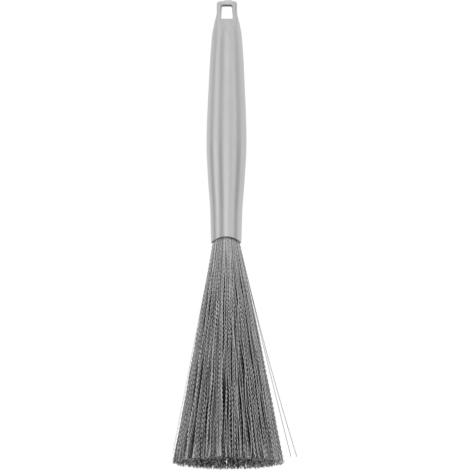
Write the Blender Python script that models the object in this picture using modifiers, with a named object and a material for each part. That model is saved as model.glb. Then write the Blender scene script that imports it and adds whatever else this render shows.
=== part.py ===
"""Stainless steel dish brush, standing on its wire tips.

A hollow swaged handle carries a lined hanging eye and a closed end. Its mouth holds a tapered
cup, and an anchor bar across the cup passes through the packed roots of the wire hanks, whose
strands fan out to one flat trimmed end. The z axis is the handle's axis, and z = 0 is the plane
of the trimmed tips.
"""

import math
import random

import bmesh
import bpy
from mathutils import Vector

MM = 0.001

# Fits
CLEARANCE = 0.3 * MM
TRIM_DEPTH = 0.5 * MM

# Handle, with heights above the mouth's lowest points and drops below the handle's top
WIRE_REACH = 116.6 * MM
HANDLE_LENGTH = 128.1 * MM
HANDLE_WALL = 0.6 * MM
MOUTH_WIDTH = 15.6 * MM
NECK_HEIGHT = 17.5 * MM
NECK_WIDTH = 16.8 * MM
FLARE_HEIGHT = 34.4 * MM
FLARE_WIDTH = 19.4 * MM
BELLY_HEIGHT = 53.0 * MM
BELLY_WIDTH = 21.0 * MM
TAPER_DROP = 38.5 * MM
TAPER_WIDTH = 18.3 * MM
SHOULDER_DROP = 17.3 * MM
SHOULDER_WIDTH = 15.6 * MM
SLOPE_DROP = 11.0 * MM
SLOPE_WIDTH = 13.2 * MM
LOOP_DROP = 5.2 * MM
LOOP_WIDTH = 10.8 * MM
LOOP_DEPTH = 7.4 * MM
LOOP_SQUARENESS = 3.2
CROWN_ROUNDING = 1.6 * MM
MOUTH_SCOOP = 2.6 * MM
SCOOP_FADE = 14.0 * MM
LIP_ROLL = 0.9 * MM
EDGE_ROUNDING = 0.2 * MM

# Hanging eye through the loop
EYE_TOP_WIDTH = 5.3 * MM
EYE_FOOT_WIDTH = 6.5 * MM
EYE_LENGTH = 7.5 * MM
EYE_ROUNDING = 0.8 * MM
EYE_DRAFT = 0.45 * MM
LINER_WALL = 0.6 * MM
LINER_EDGE = 0.2 * MM

# Closed end
DOME_HEIGHT = 0.8 * MM

# Cup and anchor bar inside the mouth
ROOT_RECESS = 8.0 * MM
CUP_WALL = 0.5 * MM
CUP_OVERHANG = 1.0 * MM
CUP_ROUNDING = 1.2 * MM
ANCHOR_DIAMETER = 1.2 * MM
ANCHOR_CHAMFER = 0.2 * MM
ROOT_COVER = 2.4 * MM

# Wire hanks
TIP_REACH_RIGHT = 30.3 * MM
TIP_REACH_LEFT = 27.9 * MM
TIP_REACH_DEPTH = 29.1 * MM
TIP_SCATTER = 0.35 * MM
TIP_RAGGEDNESS = 2.6 * MM
STRAND_FILL = 0.72
STRAND_TIP_RADIUS = 0.5 * MM
MIDDLE_HANKS = 6
OUTER_HANKS = 12
HANK_ROWS = 2
HANK_COLUMNS = 5
CORE_CELLS = 3
STRAY_SLICE_WIDTH = 0.8 * MM
STRAY_REACHES = (33.7 * MM, 36.9 * MM)
STRAY_TIP_HEIGHT = 3.4 * MM
STRAY_RADIUS = 0.2 * MM
SEED = 7

# Mesh steps
RING_POINTS = 36
BODY_STEP = 6.0 * MM
SHOULDER_STEP = 2.0 * MM
ARC_STEPS = 4
DOME_STEPS = 5
TURN_STEPS = 32
BAR_SIDES = 16
SMOOTH_BELOW = math.radians(35)
BEVEL_ABOVE = math.radians(45)
WELD_DISTANCE = 0.01 * MM

MOUTH_Z = WIRE_REACH
TOP_Z = MOUTH_Z + HANDLE_LENGTH
ROOT_Z = MOUTH_Z + ROOT_RECESS
SLICE_HEIGHT = ANCHOR_DIAMETER + 2 * CLEARANCE + 2 * ROOT_COVER
SLICE_TOP_Z = ROOT_Z + SLICE_HEIGHT
ANCHOR_Z = ROOT_Z + SLICE_HEIGHT / 2
CUP_RIM_Z = ROOT_Z - CUP_OVERHANG
CUP_TOP_Z = SLICE_TOP_Z + CLEARANCE + CUP_WALL
EYE_TOP_Z = TOP_Z - HANDLE_WALL - CLEARANCE - LINER_WALL - LINER_EDGE
EYE_FOOT_Z = EYE_TOP_Z - EYE_LENGTH

WIDTHS = (
    (MOUTH_Z, MOUTH_WIDTH),
    (MOUTH_Z + NECK_HEIGHT, NECK_WIDTH),
    (MOUTH_Z + FLARE_HEIGHT, FLARE_WIDTH),
    (MOUTH_Z + BELLY_HEIGHT, BELLY_WIDTH),
    (TOP_Z - TAPER_DROP, TAPER_WIDTH),
    (TOP_Z - SHOULDER_DROP, SHOULDER_WIDTH),
    (TOP_Z - SLOPE_DROP, SLOPE_WIDTH),
    (TOP_Z - LOOP_DROP, LOOP_WIDTH),
    (TOP_Z, LOOP_WIDTH),
)


def clear_scene():
    for item in list(bpy.data.objects):
        bpy.data.objects.remove(item, do_unlink=True)


def make_collection(name):
    collection = bpy.data.collections.new(name)
    bpy.context.scene.collection.children.link(collection)
    return collection


def make_material(name, grey, roughness):
    material = bpy.data.materials.new(name)
    material.use_nodes = True
    shader = material.node_tree.nodes["Principled BSDF"]
    shader.inputs["Base Color"].default_value = (grey, grey, grey, 1.0)
    shader.inputs["Metallic"].default_value = 1.0
    shader.inputs["Roughness"].default_value = roughness
    return material


def make_object(name, bm, collection, material=None):
    """A new object from a bmesh, smooth where its faces meet gently."""
    bmesh.ops.recalc_face_normals(bm, faces=bm.faces)
    mesh = bpy.data.meshes.new(name)
    bm.to_mesh(mesh)
    bm.free()
    mesh.shade_smooth()
    mesh.set_sharp_from_angle(angle=SMOOTH_BELOW)
    item = bpy.data.objects.new(name, mesh)
    collection.objects.link(item)
    if material:
        mesh.materials.append(material)
    return item


def make_cutter(name, bm, collection):
    cutter = make_object(name, bm, collection)
    cutter.hide_render = True
    cutter.display_type = "WIRE"
    return cutter


def cut(item, cutter):
    boolean = item.modifiers.new("cut_" + cutter.name, "BOOLEAN")
    boolean.operation = "DIFFERENCE"
    boolean.object = cutter


def round_edges(item, width, segments):
    bevel = item.modifiers.new("rounded_edges", "BEVEL")
    bevel.width = width
    bevel.segments = segments
    bevel.limit_method = "ANGLE"
    bevel.angle_limit = BEVEL_ABOVE


def bridge(bm, lower, upper):
    """Quads between two loops of equally many vertices."""
    for i, start in enumerate(lower):
        j = (i + 1) % len(lower)
        bm.faces.new((start, lower[j], upper[j], upper[i]))


def loft(bm, rings, joined=False, capped=False):
    """Quads between rings of equally many points, joined end to start or capped at both ends."""
    loops = [[bm.verts.new(point) for point in ring] for ring in rings]
    for lower, upper in zip(loops, loops[1:]):
        bridge(bm, lower, upper)
    if joined:
        bridge(bm, loops[-1], loops[0])
    if capped:
        bm.faces.new(reversed(loops[0]))
        bm.faces.new(loops[-1])


def slope_at(stations, i):
    """Slope of a smooth outline at a station, flat where the outline turns back."""
    if i in (0, len(stations) - 1):
        j = max(i - 1, 0)
        return (stations[j + 1][1] - stations[j][1]) / (stations[j + 1][0] - stations[j][0])
    before = (stations[i][1] - stations[i - 1][1]) / (stations[i][0] - stations[i - 1][0])
    after = (stations[i + 1][1] - stations[i][1]) / (stations[i + 1][0] - stations[i][0])
    if before * after <= 0:
        return 0.0
    return 2 * before * after / (before + after)


def along(stations, z):
    """Value at height z of the smooth outline through the stations."""
    last = len(stations) - 2
    i = max(k for k in range(last + 1) if k == 0 or stations[k][0] <= z)
    (z0, value0), (z1, value1) = stations[i], stations[i + 1]
    span = z1 - z0
    t = min(max((z - z0) / span, 0.0), 1.0)
    rise = value1 - value0
    start = slope_at(stations, i) * span
    end = slope_at(stations, i + 1) * span
    return value0 + t * (start + t * (3 * rise - 2 * start - end + t * (start + end - 2 * rise)))


def ease(t):
    t = min(max(t, 0.0), 1.0)
    return t * t * (3 - 2 * t)


def handle_section(z):
    """Width, depth and squareness of the handle's outer section at height z."""
    width = along(WIDTHS, z)
    flatness = ease((z - (TOP_Z - SHOULDER_DROP)) / (SHOULDER_DROP - LOOP_DROP))
    depth = width * (1 - flatness) + LOOP_DEPTH * flatness
    squareness = 2 + (LOOP_SQUARENESS - 2) * flatness
    over = z - (TOP_Z - CROWN_ROUNDING)
    if over > 0:
        drawn_in = CROWN_ROUNDING - math.sqrt(max(CROWN_ROUNDING**2 - over**2, 0.0))
        width -= 2 * drawn_in
        depth -= 2 * drawn_in
    return width, depth, squareness


def bore_radius(z):
    """Inner radius of the round part of the handle."""
    return along(WIDTHS, z) / 2 - HANDLE_WALL


def throat_radius():
    """Radius that the wires may fill where they pass the rolled lip."""
    return MOUTH_WIDTH / 2 - max(LIP_ROLL, HANDLE_WALL) - CLEARANCE


def oval_point(angle, width, depth, squareness):
    """A point of a rounded section, from an ellipse at squareness 2 towards a rectangle."""
    power = 2 / squareness
    x = math.copysign(abs(math.cos(angle)) ** power, math.cos(angle)) * width / 2
    y = math.copysign(abs(math.sin(angle)) ** power, math.sin(angle)) * depth / 2
    return x, y


def face_depth(x, z):
    """How far in front of the axis the handle's outer face lies at (x, z)."""
    width, depth, squareness = handle_section(z)
    share = min(abs(2 * x / width), 1.0)
    return depth / 2 * (1 - share**squareness) ** (1 / squareness)


def steps_between(low, high, step):
    count = max(1, round((high - low) / step))
    return [low + (high - low) * i / count for i in range(count)]


def handle_heights():
    """Heights of the handle's rings, closer together at the lip, the shoulder and the crown."""
    lip = MOUTH_Z + LIP_ROLL
    shoulder = TOP_Z - SHOULDER_DROP
    crown = TOP_Z - CROWN_ROUNDING
    turns = [math.pi / 2 * i / ARC_STEPS for i in range(ARC_STEPS + 1)]
    return (
        [lip - LIP_ROLL * math.cos(turn) for turn in turns[:-1]]
        + steps_between(lip, shoulder, BODY_STEP)
        + steps_between(shoulder, crown, SHOULDER_STEP)
        + [crown + CROWN_ROUNDING * math.sin(turn) for turn in turns]
    )


def lip_inset(z):
    """How far the rolled lip draws the handle's side in, at height z of an unscooped mouth."""
    under = max(MOUTH_Z + LIP_ROLL - z, 0.0)
    return LIP_ROLL - math.sqrt(max(LIP_ROLL**2 - under**2, 0.0))


def handle_ring(z):
    """One ring of the handle, lifted at front and back where the mouth's scoop reaches it."""
    lift = MOUTH_SCOOP * max(0.0, 1 - (z - MOUTH_Z) / SCOOP_FADE)
    ring = []
    for i in range(RING_POINTS):
        angle = 2 * math.pi * i / RING_POINTS
        height = z + lift * math.sin(angle) ** 2
        width, depth, squareness = handle_section(height)
        inset = 2 * lip_inset(z)
        x, y = oval_point(angle, width - inset, depth - inset, squareness)
        ring.append(Vector((x, y, height)))
    return ring


def eye_half_width(z):
    share = (EYE_TOP_Z - z) / EYE_LENGTH
    return (EYE_TOP_WIDTH + (EYE_FOOT_WIDTH - EYE_TOP_WIDTH) * share) / 2


def eye_outline(grow, spread):
    """The eye's rounded outline in x and z, grown all round, and spread more at the sides."""
    top = EYE_TOP_Z + grow
    foot = EYE_FOOT_Z - grow
    radius = EYE_ROUNDING + grow
    outline = []
    for side, z, start in ((1, top, 0), (-1, top, 90), (-1, foot, 180), (1, foot, 270)):
        inward = radius if z == foot else -radius
        for i in range(ARC_STEPS + 1):
            turn = math.radians(start + 90 * i / ARC_STEPS)
            height = z + inward + radius * math.sin(turn)
            middle = eye_half_width(z + inward) + grow + spread - radius
            outline.append((side * middle + radius * math.cos(turn), height))
    return outline


def eye_ring(share, grow):
    """One ring of the liner, share of the way from the middle plane to the handle's face."""
    ring = []
    for x, z in eye_outline(grow, EYE_DRAFT * share**2):
        ring.append(Vector((x, -share * face_depth(x, z), z)))
    return ring


def make_handle_shell(parts, cutters, steel):
    bm = bmesh.new()
    loft(bm, [handle_ring(z) for z in handle_heights()])
    shell = make_object("handle_shell", bm, parts, steel)
    wall = shell.modifiers.new("wall", "SOLIDIFY")
    wall.thickness = HANDLE_WALL
    wall.offset = -1.0
    wall.use_even_offset = True
    round_edges(shell, EDGE_ROUNDING, 1)
    bm = bmesh.new()
    outline = eye_outline(LINER_WALL + CLEARANCE, EYE_DRAFT)
    rings = [[Vector((x, y, z)) for x, z in outline] for y in (BELLY_WIDTH, -BELLY_WIDTH)]
    loft(bm, rings, capped=True)
    cut(shell, make_cutter("eye_cutter", bm, cutters))


def make_eye_liner(parts, steel):
    """The sleeve through the loop, narrowest in the middle and flush with both faces."""
    shares = [-1.0, -0.5, 0.0, 0.5, 1.0]
    rings = [eye_ring(share, 0.0) for share in shares]
    rings += [eye_ring(share, LINER_WALL) for share in reversed(shares)]
    bm = bmesh.new()
    loft(bm, rings, joined=True)
    round_edges(make_object("eye_liner", bm, parts, steel), LINER_EDGE, 1)


def make_end_plug(parts, steel):
    """The plate that closes the crown's opening and rounds it off with a low dome."""
    width, depth, squareness = handle_section(TOP_Z)
    sections = [(TOP_Z - HANDLE_WALL, 1.0)]
    for i in range(DOME_STEPS):
        turn = math.pi / 2 * i / DOME_STEPS
        sections.append((TOP_Z + DOME_HEIGHT * math.sin(turn), math.cos(turn)))
    angles = [2 * math.pi * i / TURN_STEPS for i in range(TURN_STEPS)]
    rings = []
    for z, share in sections:
        wide = share * (width - 2 * CLEARANCE)
        deep = share * (depth - 2 * CLEARANCE)
        ring = [oval_point(angle, wide, deep, squareness) for angle in angles]
        rings.append([Vector((x, y, z)) for x, y in ring])
    bm = bmesh.new()
    loft(bm, rings, capped=True)
    make_object("end_plug", bm, parts, steel)


def cup_radius(z):
    """Outer radius of the cup, which follows the handle's bore."""
    return bore_radius(z) - CLEARANCE


def root_radius():
    """Outer radius of the packed roots, set by the cup's rim, its narrowest place."""
    return cup_radius(CUP_RIM_Z) - CUP_WALL - CLEARANCE


def outermost_root():
    """Distance from the axis of the outermost strands' root centres, a third into their row."""
    outer = root_radius()
    row = (outer - ring_radius(1 + MIDDLE_HANKS) - CLEARANCE) / HANK_ROWS
    return outer - CLEARANCE / 2 - row / 3


def ring_radius(hanks):
    """Radius of the circle round this many hanks, all of one area."""
    return root_radius() * math.sqrt(hanks / (1 + MIDDLE_HANKS + OUTER_HANKS))


def lathe(bm, profile):
    """Draws half a section in x and z: from the axis out, down its outer side and back."""
    points = [bm.verts.new((x, 0, z)) for x, z in profile]
    for start, end in zip(points, points[1:]):
        bm.edges.new((start, end))


def make_anchor_bar(parts, cutters, steel):
    """The bar across the cup, and the cutter of the same line that clears its way."""
    length = 2 * cup_radius(ANCHOR_Z)
    bars = []
    for radius, reach in (
        (ANCHOR_DIAMETER / 2, length),
        (ANCHOR_DIAMETER / 2 + CLEARANCE, 2 * BELLY_WIDTH),
    ):
        bm = bmesh.new()
        bmesh.ops.create_cone(
            bm,
            cap_ends=True,
            segments=BAR_SIDES,
            radius1=radius,
            radius2=radius,
            depth=reach,
        )
        bars.append(bm)
    bar = make_object("anchor_bar", bars[0], parts, steel)
    round_edges(bar, ANCHOR_CHAMFER, 1)
    cutter = make_cutter("anchor_cutter", bars[1], cutters)
    for item in (bar, cutter):
        item.rotation_euler.x = math.pi / 2
        item.location.z = ANCHOR_Z
    return cutter


def shoulder_arc(radius):
    """Points of the cup's rounded shoulder at this radius, from its top to its side."""
    middle = cup_radius(CUP_TOP_Z) - CUP_ROUNDING
    height = CUP_TOP_Z - CUP_ROUNDING
    turns = [math.pi / 2 * (1 - i / ARC_STEPS) for i in range(ARC_STEPS + 1)]
    return [(middle + radius * math.cos(turn), height + radius * math.sin(turn)) for turn in turns]


def make_root_cup(parts, steel, anchor_cutter):
    """The drawn cup that wedges in the handle's neck over the packed roots."""
    rim = cup_radius(CUP_RIM_Z)
    profile = [(0, CUP_TOP_Z)]
    profile += shoulder_arc(CUP_ROUNDING)
    profile += [(rim, CUP_RIM_Z), (rim - CUP_WALL, CUP_RIM_Z)]
    profile += reversed(shoulder_arc(CUP_ROUNDING - CUP_WALL))
    profile.append((0, CUP_TOP_Z - CUP_WALL))
    bm = bmesh.new()
    lathe(bm, profile)
    cup = make_object("root_cup", bm, parts, steel)
    turned = cup.modifiers.new("turned", "SCREW")
    turned.steps = TURN_STEPS
    turned.render_steps = TURN_STEPS
    turned.use_merge_vertices = True
    turned.merge_threshold = WELD_DISTANCE
    cut(cup, anchor_cutter)


def sector_grid(inner, outer, start, end):
    """Rows of corners of a ring sector, drawn in by half a clearance from its neighbours."""
    inner += CLEARANCE / 2
    outer -= CLEARANCE / 2
    rows = []
    for i in range(HANK_ROWS + 1):
        radius = inner + (outer - inner) * i / HANK_ROWS
        margin = math.asin(CLEARANCE / 2 / radius)
        low = start + margin
        high = end - margin
        angles = [low + (high - low) * j / HANK_COLUMNS for j in range(HANK_COLUMNS + 1)]
        rows.append([(radius * math.cos(a), radius * math.sin(a)) for a in angles])
    return rows


def core_grid(radius):
    """Rows of corners of a square grid, its rings of cells rounded out to a disc."""
    radius -= CLEARANCE / 2
    ticks = [2 * i / CORE_CELLS - 1 for i in range(CORE_CELLS + 1)]
    rows = []
    for a in ticks:
        row = []
        for b in ticks:
            reach = radius * max(abs(a), abs(b))
            turn = math.atan2(b, a)
            row.append((reach * math.cos(turn), reach * math.sin(turn)))
        rows.append(row)
    return rows


def stray_grid(inner, outer):
    """Rows of corners of the narrow slice between two outer hanks, on the x axis."""
    half = STRAY_SLICE_WIDTH / 2 - CLEARANCE / 2
    inner += CLEARANCE / 2
    outer -= CLEARANCE / 2
    radii = [inner + (outer - inner) * i / len(STRAY_REACHES) for i in range(len(STRAY_REACHES) + 1)]
    return [[(radius, -half), (radius, half)] for radius in radii]


def grow_slice(bm, rows, split):
    """The packed roots of one hank. Returns the cells of its lower face, one a strand."""
    corners = [[bm.verts.new((x, y, ROOT_Z)) for x, y in row] for row in rows]
    cells = []
    for lower, upper in zip(corners, corners[1:]):
        for j in range(len(lower) - 1):
            cells.append(bm.faces.new((lower[j], lower[j + 1], upper[j + 1], upper[j])))
    middle = cells[len(cells) // 2] if split == "all_but_middle" else None
    whole = bmesh.ops.extrude_face_region(bm, geom=cells, use_keep_orig=True)
    raised = [item for item in whole["geom"] if isinstance(item, bmesh.types.BMVert)]
    bmesh.ops.translate(bm, verts=raised, vec=(0, 0, SLICE_HEIGHT))
    caps = [item for item in whole["geom"] if isinstance(item, bmesh.types.BMFace)]
    bmesh.ops.dissolve_faces(bm, faces=caps)
    if split == "none":
        return cells
    parted = [cell for cell in cells if cell is not middle]
    made = bmesh.ops.triangulate(bm, faces=parted)["faces"]
    return made + ([middle] if middle else [])


def strand_sections(cell, ends):
    """Corners of one strand's sections: inside its own cell, at the mouth and at its tip.

    ends gives the tip's centre and radius for the centre of the cell.
    """
    centre = cell.calc_center_median()
    offsets = [(corner.co - centre) * STRAND_FILL for corner in cell.verts]
    spread = throat_radius() / root_radius()
    at_mouth = Vector((centre.x * spread, centre.y * spread, MOUTH_Z))
    tip, tip_radius = ends(centre)
    return (
        [centre + offset for offset in offsets],
        [at_mouth + offset for offset in offsets],
        [tip + offset.normalized() * tip_radius for offset in offsets],
    )


def grow_strand(bm, cell, ends):
    """Draws a cell of the slice's lower face out into a strand with a flat tip."""
    ring = list(cell.verts)
    sections = strand_sections(cell, ends)
    bm.faces.remove(cell)
    for section in sections:
        lower = [bm.verts.new(place) for place in section]
        bridge(bm, ring, lower)
        ring = lower
    bm.faces.new(ring)


def spread_tip(rng, centre):
    """Where the strand from this root ends, and how far from its middle its corners lie."""
    reach = TIP_REACH_RIGHT if centre.x > 0 else TIP_REACH_LEFT
    on_axis = math.hypot(centre.x, centre.y) < WELD_DISTANCE
    scatter = 0.0 if on_axis else TIP_SCATTER
    turn = rng.uniform(0, 2 * math.pi)
    length = rng.uniform(-TRIM_DEPTH, TIP_RAGGEDNESS * rng.random() ** 2)
    x = centre.x / outermost_root() * reach + scatter * math.cos(turn)
    y = centre.y / outermost_root() * TIP_REACH_DEPTH + scatter * math.sin(turn)
    height = 0.0 if on_axis else max(0.0, length)
    return Vector((x, y, height)), STRAND_TIP_RADIUS


def meets_anchor(rows):
    """Whether the anchor bar's way passes through a slice with these corners."""
    reach = ANCHOR_DIAMETER / 2 + CLEARANCE
    across = [x for row in rows for x, _ in row]
    return min(across) < reach and max(across) > -reach


def make_hank(name, parts, steel, rows, split, ends, anchor_cutter):
    bm = bmesh.new()
    for cell in grow_slice(bm, rows, split):
        grow_strand(bm, cell, ends)
    hank = make_object(name, bm, parts, steel)
    if meets_anchor(rows):
        cut(hank, anchor_cutter)


def make_hanks(parts, steel, anchor_cutter):
    """The core hank, the middle and outer rings round it, and the two stray wires."""
    rng = random.Random(SEED)

    def ends(centre):
        return spread_tip(rng, centre)

    core = ring_radius(1)
    middle = ring_radius(1 + MIDDLE_HANKS)
    outer = root_radius()
    make_hank("wire_hank_01", parts, steel, core_grid(core), "all_but_middle", ends, anchor_cutter)
    number = 2
    for i in range(MIDDLE_HANKS):
        step = 2 * math.pi / MIDDLE_HANKS
        rows = sector_grid(core, middle, i * step, (i + 1) * step)
        make_hank(f"wire_hank_{number:02d}", parts, steel, rows, "all", ends, anchor_cutter)
        number += 1
    stray_angle = 2 * math.asin(STRAY_SLICE_WIDTH / 2 / middle)
    for i in range(OUTER_HANKS):
        step = (2 * math.pi - stray_angle) / OUTER_HANKS
        start = stray_angle / 2 + i * step
        rows = sector_grid(middle, outer, start, start + step)
        make_hank(f"wire_hank_{number:02d}", parts, steel, rows, "all", ends, anchor_cutter)
        number += 1
    reaches = iter(STRAY_REACHES)

    def stray_ends(centre):
        return Vector((next(reaches), 0.0, STRAY_TIP_HEIGHT)), STRAY_RADIUS

    rows = stray_grid(middle, outer)
    make_hank("stray_wires", parts, steel, rows, "none", stray_ends, anchor_cutter)


def main():
    clear_scene()
    parts = make_collection("dish_brush")
    cutters = make_collection("cutters")
    handle_steel = make_material("brushed_handle_steel", 0.56, 0.32)
    inner_steel = make_material("plain_inner_steel", 0.45, 0.4)
    wire_steel = make_material("drawn_wire_steel", 0.35, 0.38)
    make_handle_shell(parts, cutters, handle_steel)
    make_eye_liner(parts, handle_steel)
    make_end_plug(parts, handle_steel)
    anchor_cutter = make_anchor_bar(parts, cutters, inner_steel)
    make_root_cup(parts, inner_steel, anchor_cutter)
    make_hanks(parts, wire_steel, anchor_cutter)


main()
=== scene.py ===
"""Looks of the stainless steel dish brush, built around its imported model.

The handle and its hanging eye get a finer polished skin, and every wire hank is drawn again as
many thin crimped wires. Lengths are metres, +Z runs from the wire tips up to the hanging eye, and
-Y is the front. Run it as a script: it registers its operators, calls them and ends.
"""

import math

import bmesh
import bpy
import numpy as np
from mathutils import Matrix, Quaternion, Vector


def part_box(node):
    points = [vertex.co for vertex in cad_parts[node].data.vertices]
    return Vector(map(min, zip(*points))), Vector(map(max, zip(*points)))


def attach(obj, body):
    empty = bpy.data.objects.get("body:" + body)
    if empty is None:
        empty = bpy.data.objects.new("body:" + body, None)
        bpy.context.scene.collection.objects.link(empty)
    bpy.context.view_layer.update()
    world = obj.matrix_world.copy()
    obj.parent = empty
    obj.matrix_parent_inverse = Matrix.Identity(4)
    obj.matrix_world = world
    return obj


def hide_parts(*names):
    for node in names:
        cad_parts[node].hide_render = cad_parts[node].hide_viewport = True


bl_info = {
    "name": "Steel Dish Brush Looks",
    "version": (1, 0, 0),
    "blender": (4, 5, 0),
    "location": "3D Viewport > Sidebar > Dish Brush",
    "description": "Builds the visible handle, hanging eye, crimped wires and studio of a dish brush",
    "category": "Object",
}

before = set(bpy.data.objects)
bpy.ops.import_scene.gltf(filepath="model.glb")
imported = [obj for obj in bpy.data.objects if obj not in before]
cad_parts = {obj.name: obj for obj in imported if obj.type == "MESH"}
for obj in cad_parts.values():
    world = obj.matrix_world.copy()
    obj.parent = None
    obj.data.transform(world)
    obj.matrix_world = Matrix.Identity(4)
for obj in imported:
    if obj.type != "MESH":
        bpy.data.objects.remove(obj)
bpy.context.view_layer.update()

MM = 0.001
BODY = "root"
HANDLE_SLOT = "handle_steel"
WIRE_SLOT = "wire_steel"
BAKE_MAP = "OFBake"

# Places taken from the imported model; the crown is drawn a little thicker than the shell there
CROWN_LIFT = 0.6 * MM
MOUTH_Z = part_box("handle_shell")[0].z
TOP_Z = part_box("handle_shell")[1].z + CROWN_LIFT
CUP_RIM_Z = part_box("root_cup")[0].z
CUP_TOP_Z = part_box("root_cup")[1].z

# Outline of the handle: heights above the mouth, drops below the top, and widths there
MOUTH_WIDTH = 16.0 * MM
NECK_HEIGHT = 17.5 * MM
NECK_WIDTH = 16.95 * MM
FLARE_HEIGHT = 34.4 * MM
FLARE_WIDTH = 19.4 * MM
BELLY_HEIGHT = 53.0 * MM
BELLY_WIDTH = 21.1 * MM
TAPER_DROP = 38.9 * MM
TAPER_WIDTH = 18.45 * MM
SHOULDER_DROP = 17.7 * MM
SHOULDER_WIDTH = 15.6 * MM
SLOPE_DROP = 11.4 * MM
SLOPE_WIDTH = 13.2 * MM
LOOP_DROP = 5.6 * MM
LOOP_WIDTH = 10.8 * MM
LOOP_SQUARENESS = 3.2
WIDTHS = (
    (MOUTH_Z, MOUTH_WIDTH),
    (MOUTH_Z + NECK_HEIGHT, NECK_WIDTH),
    (MOUTH_Z + FLARE_HEIGHT, FLARE_WIDTH),
    (MOUTH_Z + BELLY_HEIGHT, BELLY_WIDTH),
    (TOP_Z - TAPER_DROP, TAPER_WIDTH),
    (TOP_Z - SHOULDER_DROP, SHOULDER_WIDTH),
    (TOP_Z - SLOPE_DROP, SLOPE_WIDTH),
    (TOP_Z - LOOP_DROP, LOOP_WIDTH),
    (TOP_Z, LOOP_WIDTH),
)

# Hanks of wire: one in the core, a ring of middle ones and a ring of outer ones
MIDDLE_HANKS = 6
OUTER_HANKS = 12
HANKS = 1 + MIDDLE_HANKS + OUTER_HANKS


class HandleSettings(bpy.types.PropertyGroup):
    wall: bpy.props.FloatProperty(
        name="Wall", description="Thickness of the handle's sheet",
        default=0.4 * MM, unit="LENGTH")
    lip_roll: bpy.props.FloatProperty(
        name="Lip roll", description="Radius of the mouth's rolled lip",
        default=0.46 * MM, unit="LENGTH")
    mouth_scoop: bpy.props.FloatProperty(
        name="Mouth scoop", description="How much higher the mouth is at front and back",
        default=2.45 * MM, unit="LENGTH")
    scoop_fade: bpy.props.FloatProperty(
        name="Scoop fade", description="Height over which the scoop dies out",
        default=14.0 * MM, unit="LENGTH")
    loop_depth: bpy.props.FloatProperty(
        name="Loop depth", description="Front to back size of the flattened loop",
        default=7.4 * MM, unit="LENGTH")
    crown_rounding: bpy.props.FloatProperty(
        name="Crown rounding", description="Radius of the loop's upper edge",
        default=1.6 * MM, unit="LENGTH")
    dome_height: bpy.props.FloatProperty(
        name="Dome height", description="Rise of the welded crown",
        default=1.15 * MM, unit="LENGTH")
    eye_top_width: bpy.props.FloatProperty(
        name="Eye top width", description="Width of the eye at its top",
        default=5.3 * MM, unit="LENGTH")
    eye_foot_width: bpy.props.FloatProperty(
        name="Eye foot width", description="Width of the eye at its foot",
        default=6.5 * MM, unit="LENGTH")
    eye_rounding: bpy.props.FloatProperty(
        name="Eye corner", description="Radius of the eye's upper corners",
        default=0.8 * MM, unit="LENGTH")
    eye_foot_rounding: bpy.props.FloatProperty(
        name="Eye foot corner", description="Radius of the eye's lower corners",
        default=0.4 * MM, unit="LENGTH")
    eye_edge: bpy.props.FloatProperty(
        name="Eye edge", description="Rounding from the handle's face into the eye",
        default=0.3 * MM, unit="LENGTH")
    steel: bpy.props.FloatVectorProperty(
        name="Steel", description="Colour of the brushed handle",
        default=(0.64, 0.64, 0.64), size=3, min=0.0, max=1.0, subtype="COLOR")
    roughness: bpy.props.FloatProperty(
        name="Roughness", description="Mean roughness of the brushed handle",
        default=0.2, min=0.0, max=1.0, subtype="FACTOR")
    # Unpolished inner walls of the eye, their colour darkened with painted shade
    shaded_eye_steel: bpy.props.FloatVectorProperty(
        name="Eye steel", description="Colour of the unpolished walls inside the eye",
        default=(0.15, 0.15, 0.15), size=3, min=0.0, max=1.0, subtype="COLOR")
    inner_steel: bpy.props.FloatVectorProperty(
        name="Inner steel", description="Colour of the cup and the anchor bar",
        default=(0.4, 0.4, 0.4), size=3, min=0.0, max=1.0, subtype="COLOR")


class WireSettings(bpy.types.PropertyGroup):
    outer_count: bpy.props.IntProperty(
        name="Wires in an outer hank", description="Wires of each hank of the outer ring",
        default=195, min=10, max=200)
    inner_count: bpy.props.IntProperty(
        name="Wires in an inner hank", description="Wires of the core and of each middle hank",
        default=52, min=10, max=200)
    fine_count: bpy.props.IntProperty(
        name="Finely waved wires", description="Outermost wires of a hank with round crimps",
        default=46, min=0, max=60)
    diameter: bpy.props.FloatProperty(
        name="Diameter", description="Thickness of a wire",
        default=0.27 * MM, unit="LENGTH")
    crimp_length: bpy.props.FloatProperty(
        name="Crimp length", description="Length of one wave at the mouth",
        default=2.2 * MM, unit="LENGTH")
    crimp_height: bpy.props.FloatProperty(
        name="Crimp height", description="How far a wave leaves the wire's line",
        default=0.34 * MM, unit="LENGTH")
    reach_right: bpy.props.FloatProperty(
        name="Reach right", description="Spread of the tips towards +X",
        default=30.8 * MM, unit="LENGTH")
    reach_left: bpy.props.FloatProperty(
        name="Reach left", description="Spread of the tips towards -X",
        default=27.55 * MM, unit="LENGTH")
    reach_depth: bpy.props.FloatProperty(
        name="Reach depth", description="Spread of the tips to front and back",
        default=30.0 * MM, unit="LENGTH")
    throat: bpy.props.FloatProperty(
        name="Throat", description="Radius of the bundle where it passes the lip",
        default=7.0 * MM, unit="LENGTH")
    steel: bpy.props.FloatVectorProperty(
        name="Steel", description="Colour of the bright wire",
        default=(0.8, 0.8, 0.8), size=3, min=0.0, max=1.0, subtype="COLOR")
    roughness: bpy.props.FloatProperty(
        name="Roughness", description="Mean roughness of the wire",
        default=0.22, min=0.0, max=1.0, subtype="FACTOR")
    seed: bpy.props.IntProperty(
        name="Seed", description="Picks another arrangement of the wires", default=11)


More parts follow.
